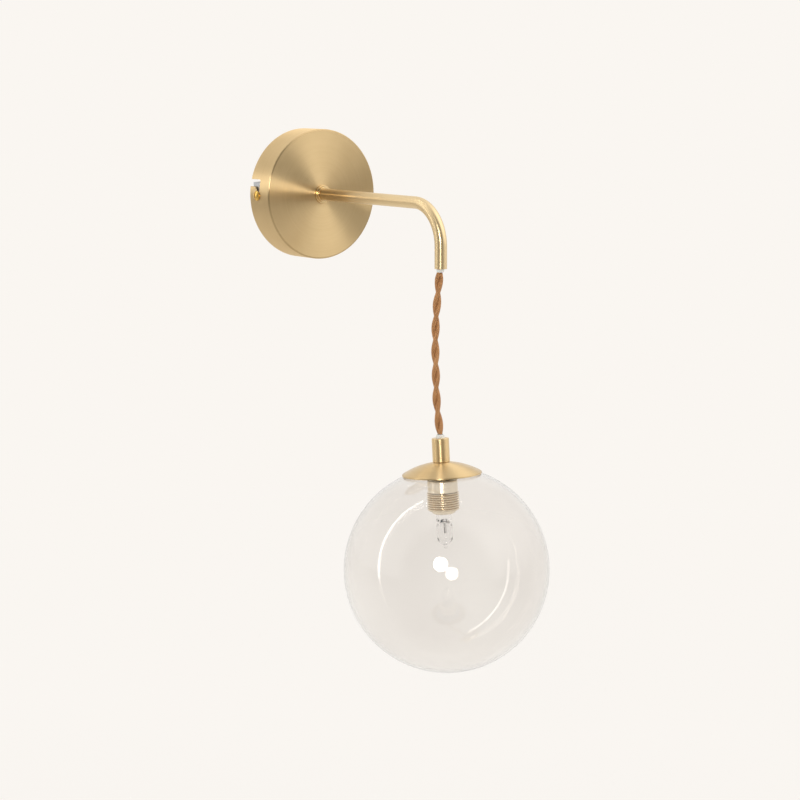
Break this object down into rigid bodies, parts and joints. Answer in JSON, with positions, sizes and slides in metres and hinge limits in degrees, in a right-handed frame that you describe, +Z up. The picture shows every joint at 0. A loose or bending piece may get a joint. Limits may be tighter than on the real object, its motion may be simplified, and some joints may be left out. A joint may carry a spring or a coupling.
{
  "type": "globe wall sconce",
  "caption": "Wall light: a round brass backplate, a bent tubular arm and a clear glass globe that hangs from it on a twisted textile cord.",
  "frame": {"origin": "centre of the backplate on the wall plane, midway between the two wall screw slots of the bracket", "axes": "+Y into the wall, so the arm reaches along -Y; +Z up; +X to the right for someone who faces the wall"},
  "size_m": [0.181, 0.3072, 0.4699],
  "materials": {
    "brushed_brass": "brushed, satin lacquered",
    "polished_brass": "polished",
    "holder_brass": "pale plated",
    "screw_brass": "bright",
    "zinc_steel": "zinc plated",
    "screw_steel": "zinc plated",
    "spring_steel": "plain",
    "tinned_copper": "tinned",
    "bulb_wire": "drawn wire",
    "tungsten": "coiled wire",
    "white_plastic": "moulded",
    "block_nylon": "moulded nylon",
    "lead_brown": "insulated lead",
    "lead_blue": "insulated lead",
    "lead_green_yellow": "insulated lead, two colours",
    "cord_braid": "braided textile",
    "clear_silicone": "translucent",
    "clear_glass": "clear blown glass",
    "bulb_glass": "clear glass",
    "holder_ceramic": "glazed ceramic"
  },
  "bodies": {
    "bracket": {"wall_bracket": "zinc_steel", "side_screws": "screw_brass", "bracket_earth_screw": "screw_steel", "earth_ring_tag": "tinned_copper", "terminal_block": "block_nylon", "block_terminals": "screw_brass", "live_lead": "lead_brown", "neutral_lead": "lead_blue", "earth_lead": "lead_green_yellow"},
    "arm": {"backplate_cup": "brushed_brass", "arm_tube": "brushed_brass", "arm_collar": "polished_brass", "arm_lock_washer": "zinc_steel", "arm_lock_nut": "screw_brass", "cord_in_arm": "cord_braid"},
    "sleeve": {"mouth_sleeve": "white_plastic"},
    "cord": {"cord": "cord_braid"},
    "pendant": {"grip_insert": "white_plastic", "cord_grip": "brushed_brass", "grip_screw": "screw_steel", "pendant_nipple": "zinc_steel", "pendant_cap": "brushed_brass", "glass_gasket": "clear_silicone", "glass_globe": "clear_glass", "glass_keeper": "zinc_steel", "keeper_nut": "screw_brass", "holder_shell": "holder_brass", "holder_ceramic": "holder_ceramic", "holder_contacts": "spring_steel", "live_core": "lead_brown", "neutral_core": "lead_blue"},
    "bulb": {"bulb_glass": "bulb_glass", "bulb_pins": "bulb_wire", "bulb_filament": "tungsten", "filament_posts": "bulb_wire"}
  },
  "joints": [
    {"name": "backplate_twist", "type": "hinge", "parent": "bracket", "child": "arm", "pos_m": [0, 0, 0], "axis": [0, -1, 0], "range_deg": [0, 11]},
    {"name": "swing_fore_aft", "type": "hinge", "parent": "arm", "child": "sleeve", "pos_m": [0, -0.207, -0.055], "axis": [1, 0, 0], "range_deg": [-30, 17]},
    {"name": "swing_sideways", "type": "hinge", "parent": "sleeve", "child": "cord", "pos_m": [0, -0.207, -0.055], "axis": [0, 1, 0], "range_deg": [-30, 30], "deforming": ["cord"]},
    {"name": "pendant_turn", "type": "hinge", "parent": "cord", "child": "pendant", "pos_m": [0, -0.2071, -0.2033], "axis": [0, 0.0828, 0.9966], "range_deg": [-180, 180]},
    {"name": "bulb_pull", "type": "slide", "parent": "pendant", "child": "bulb", "axis": [0, -0.0828, -0.9966], "range_m": [0, 0.012]}
  ]
}
